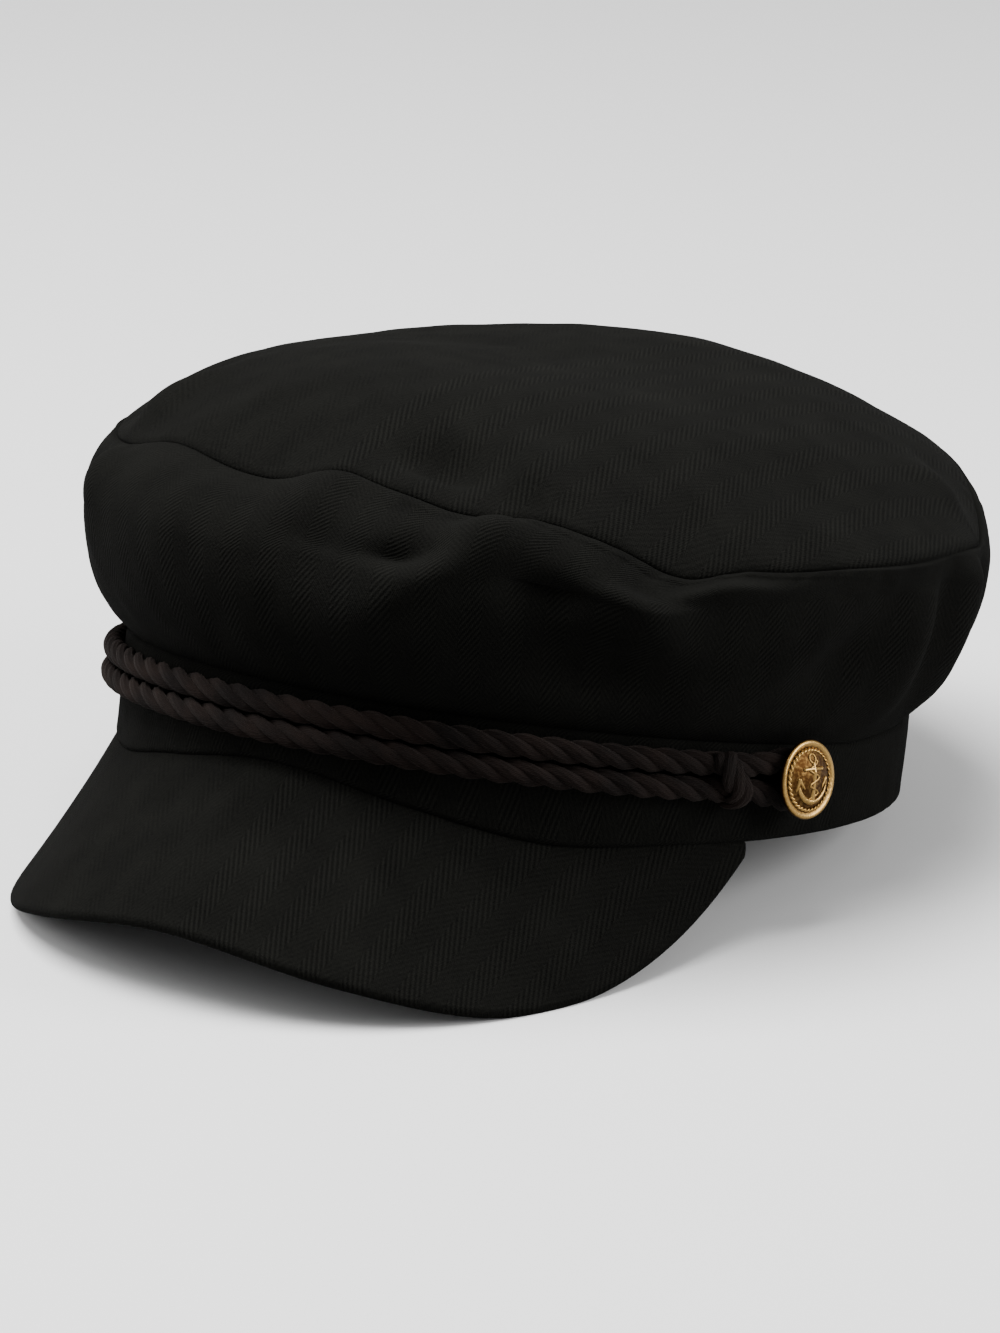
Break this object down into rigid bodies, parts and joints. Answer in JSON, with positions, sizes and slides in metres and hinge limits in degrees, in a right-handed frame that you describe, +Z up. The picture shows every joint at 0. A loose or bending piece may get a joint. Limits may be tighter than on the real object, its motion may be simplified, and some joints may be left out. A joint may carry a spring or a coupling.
{
  "type": "breton fisherman cap",
  "caption": "Soft fisherman cap with a domed crown, headband, sloping cloth visor, twisted cord and brass side buttons.",
  "frame": {"origin": "middle of the footprint, on the surface that the cap rests on", "axes": "+Z up from that surface, +Y towards the rear of the cap, -Y towards the visor, +X towards the wearer's left"},
  "size_m": [0.2002, 0.2768, 0.1168],
  "materials": {
    "wool": "matt black herringbone wool",
    "cord": "dark brown twisted yarn",
    "brass": "antique, satin"
  },
  "bodies": {
    "root": {"crown_top": "wool", "crown_side": "wool", "headband": "wool", "visor": "wool", "cord_loop": "cord", "knot_left": "cord", "knot_right": "cord", "button_left": "brass", "button_right": "brass"}
  },
  "joints": []
}
